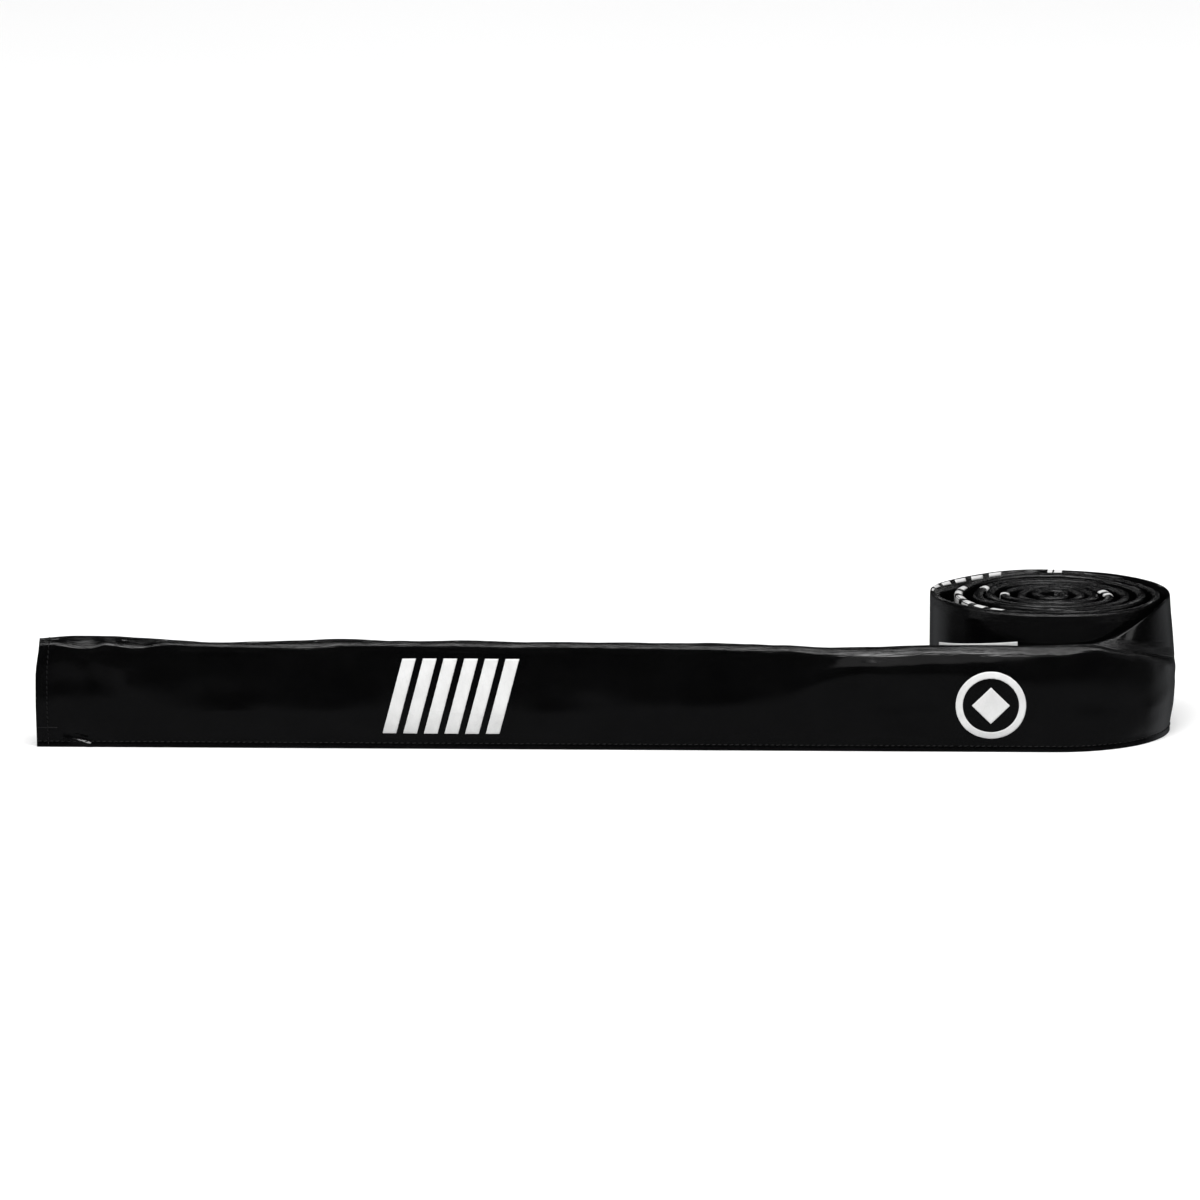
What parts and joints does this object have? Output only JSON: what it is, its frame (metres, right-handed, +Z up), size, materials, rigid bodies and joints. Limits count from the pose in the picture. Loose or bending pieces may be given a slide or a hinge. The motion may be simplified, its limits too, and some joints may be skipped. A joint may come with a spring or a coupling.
{
  "type": "boxing ring rope cover",
  "caption": "Tubular black vinyl cover for a boxing-ring rope, sewn along one edge, rolled into a coil on edge with its outer end run out straight.",
  "frame": {"origin": "under the middle of the whole object's box, on the surface it stands on", "axes": "+X from the open mouth towards the coil, +Z up, the coil lies behind the straight tail, towards +Y"},
  "size_m": [0.68, 0.1505, 0.0803],
  "materials": {
    "vinyl": "glossy black coated vinyl, faint grain",
    "thread": "black polyester sewing thread",
    "print": "white screen-printed ink, satin"
  },
  "bodies": {
    "coil": {"coil_turn_1": "vinyl", "coil_turn_2": "vinyl", "coil_turn_3": "vinyl", "coil_turn_4": "vinyl", "coil_turn_5": "vinyl", "coil_turn_6": "vinyl", "coil_turn_7": "vinyl", "coil_turn_8": "vinyl", "lead_out": "vinyl", "inner_end_hem": "vinyl", "inner_end_stitching": "thread", "coil_seam_thread": "thread", "lead_out_seam_thread": "thread", "coil_stripes_outer": "print", "coil_stripes_inner": "print", "lead_out_badge": "print"},
    "tail_1": {"tail_sleeve_1": "vinyl", "tail_seam_thread_1": "thread"},
    "tail_2": {"tail_sleeve_2": "vinyl", "tail_seam_thread_2": "thread"},
    "tail_3": {"tail_sleeve_3": "vinyl", "tail_seam_thread_3": "thread", "tail_stripes": "print"},
    "tail_4": {"tail_sleeve_4": "vinyl", "tail_seam_thread_4": "thread", "mouth_hem": "vinyl", "mouth_stitching": "thread", "mouth_corner_tack": "thread"}
  },
  "joints": [
    {"name": "bend_1", "type": "hinge", "parent": "coil", "child": "tail_1", "pos_m": [0.185, -0.06607, 0], "axis": [0, 0, 1], "range_deg": [-45, 45]},
    {"name": "bend_2", "type": "hinge", "parent": "tail_1", "child": "tail_2", "pos_m": [0.085, -0.06607, 0], "axis": [0, 0, 1], "range_deg": [-45, 45]},
    {"name": "bend_3", "type": "hinge", "parent": "tail_2", "child": "tail_3", "pos_m": [-0.015, -0.06607, 0], "axis": [0, 0, 1], "range_deg": [-45, 45]},
    {"name": "bend_4", "type": "hinge", "parent": "tail_3", "child": "tail_4", "pos_m": [-0.165, -0.06607, 0], "axis": [0, 0, 1], "range_deg": [-45, 45]}
  ]
}
